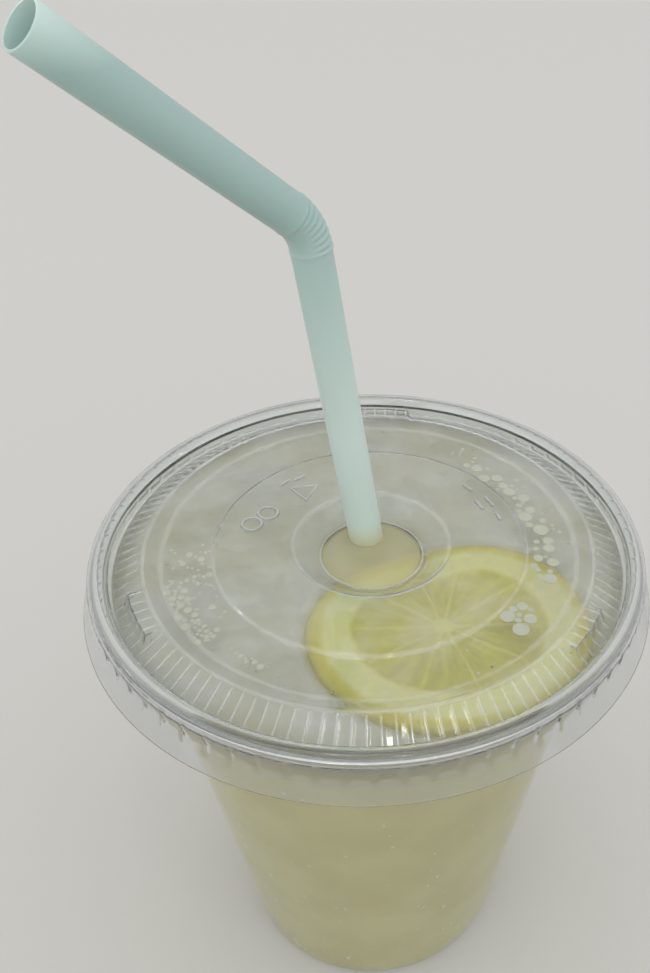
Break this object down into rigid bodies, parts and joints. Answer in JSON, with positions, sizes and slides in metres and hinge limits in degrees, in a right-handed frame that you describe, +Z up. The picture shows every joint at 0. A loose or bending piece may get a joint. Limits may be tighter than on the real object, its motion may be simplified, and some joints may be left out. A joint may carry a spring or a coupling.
{
  "type": "take-away cup of lemonade with lid and straw",
  "caption": "Clear take-away cup full of cloudy lemonade, with a flat push-on lid, a bendy drinking straw and a lemon slice under the lid.",
  "frame": {"origin": "centre of the cup's foot, on the surface it stands on", "axes": "+Z up along the cup's axis, -Y towards the side that the lemon slice is on, +X to the right"},
  "size_m": [0.103, 0.103, 0.1955],
  "materials": {
    "clear_cup": "clear moulded PET, thin and glossy",
    "clear_lid": "clear thermoformed PET sheet, glossy",
    "straw": "satin translucent pale green polypropylene",
    "lemonade": "cloudy pale yellow liquid",
    "lemon": "wet lemon with yellow rind, pale pith and translucent flesh"
  },
  "bodies": {
    "root": {"cup": "clear_cup", "lid": "clear_lid", "straw": "straw", "lemonade": "lemonade", "lemon_slice": "lemon"}
  },
  "joints": []
}
